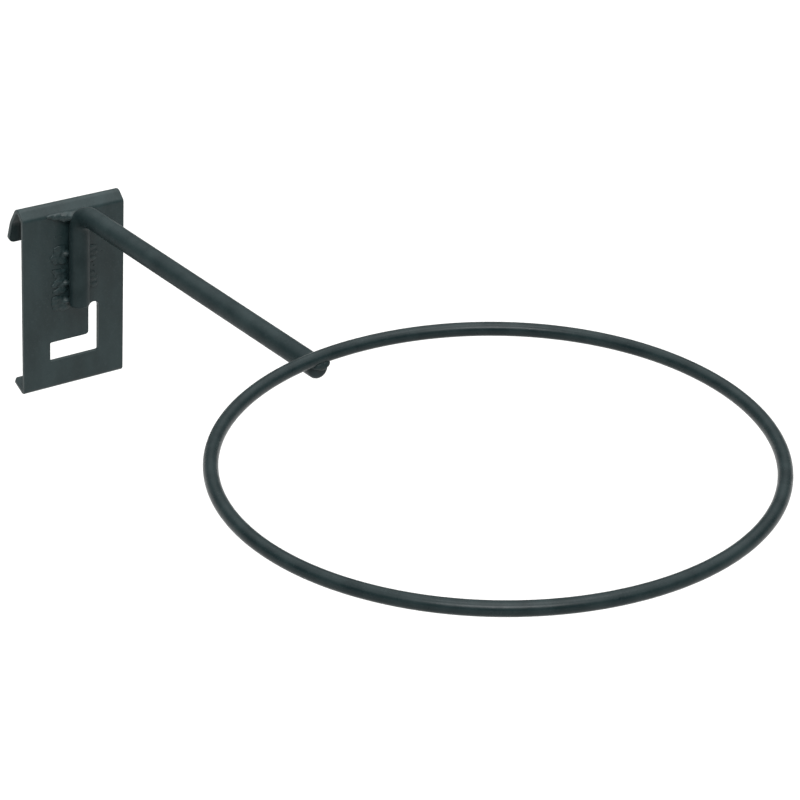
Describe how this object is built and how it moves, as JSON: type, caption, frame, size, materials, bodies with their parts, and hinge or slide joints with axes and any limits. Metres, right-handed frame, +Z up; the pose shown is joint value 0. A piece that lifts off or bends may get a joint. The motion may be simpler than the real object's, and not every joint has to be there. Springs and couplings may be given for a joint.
{
  "type": "wall panel ring holder",
  "caption": "Ring holder that hooks on a wire wall panel: folded plate with a locking slot, bent rod arm and a level round wire hoop.",
  "frame": {"origin": "seat of the hook: the middle of the inside of its top fold, which bears on the upper wire of the wall panel", "axes": "+X across the plate to the right as seen from the room, -Y out of the wall along the arm, +Z up"},
  "size_m": [0.1949, 0.3629, 0.0849],
  "materials": {
    "plate": "satin dark grey-green powder coat on folded sheet",
    "rod": "satin dark grey-green powder coat on round bar",
    "wire": "satin dark grey-green powder coat on round wire",
    "weld": "satin dark grey-green powder coat over weld metal"
  },
  "bodies": {
    "root": {"back_plate": "plate", "arm_rod": "rod", "ring_hoop": "wire", "elbow_weld": "weld", "left_upper_tack": "weld", "left_middle_tack": "weld", "left_lower_tack": "weld", "right_upper_tack": "weld", "right_lower_tack": "weld", "hoop_weld_left": "weld", "hoop_weld_right": "weld"}
  },
  "joints": []
}
